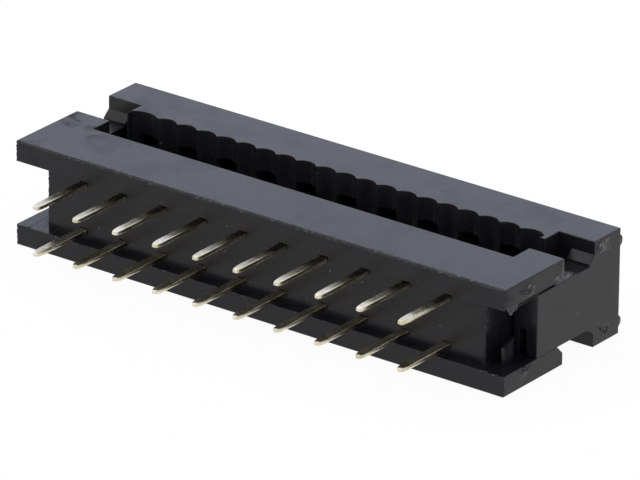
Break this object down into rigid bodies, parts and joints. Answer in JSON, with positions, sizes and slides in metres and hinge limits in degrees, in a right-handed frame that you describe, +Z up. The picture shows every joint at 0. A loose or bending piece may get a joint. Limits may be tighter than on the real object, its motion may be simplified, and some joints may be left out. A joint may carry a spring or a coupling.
{
  "type": "idc transition connector",
  "caption": "Flat ribbon cable to circuit board transition connector: base housing with two rows of forked contacts on solder tails, and a slide-on cover standing open.",
  "frame": {"origin": "middle of the pin field on the board's surface, where the front rails of the base seat", "axes": "+X along the contact rows towards the keyed end, +Y from the board towards the cover, +Z up across the rows with the connector lying on its long side"},
  "size_m": [0.0308, 0.0133, 0.0058],
  "materials": {
    "housing_plastic": "moulded black glass-filled polyester, satin",
    "cover_plastic": "moulded black glass-filled polyester, satin",
    "contact_metal": "copper alloy strip with a pale tin plating"
  },
  "bodies": {
    "base": {"base_housing": "housing_plastic", "contact_01": "contact_metal", "contact_02": "contact_metal", "contact_03": "contact_metal", "contact_04": "contact_metal", "contact_05": "contact_metal", "contact_06": "contact_metal", "contact_07": "contact_metal", "contact_08": "contact_metal", "contact_09": "contact_metal", "contact_10": "contact_metal", "contact_11": "contact_metal", "contact_12": "contact_metal", "contact_13": "contact_metal", "contact_14": "contact_metal", "contact_15": "contact_metal", "contact_16": "contact_metal", "contact_17": "contact_metal", "contact_18": "contact_metal", "contact_19": "contact_metal", "contact_20": "contact_metal"},
    "cover": {"cable_cover": "cover_plastic"}
  },
  "joints": [
    {"name": "cover_press", "type": "slide", "parent": "base", "child": "cover", "axis": [0, -1, 0], "range_m": [0, 0.00257]}
  ]
}
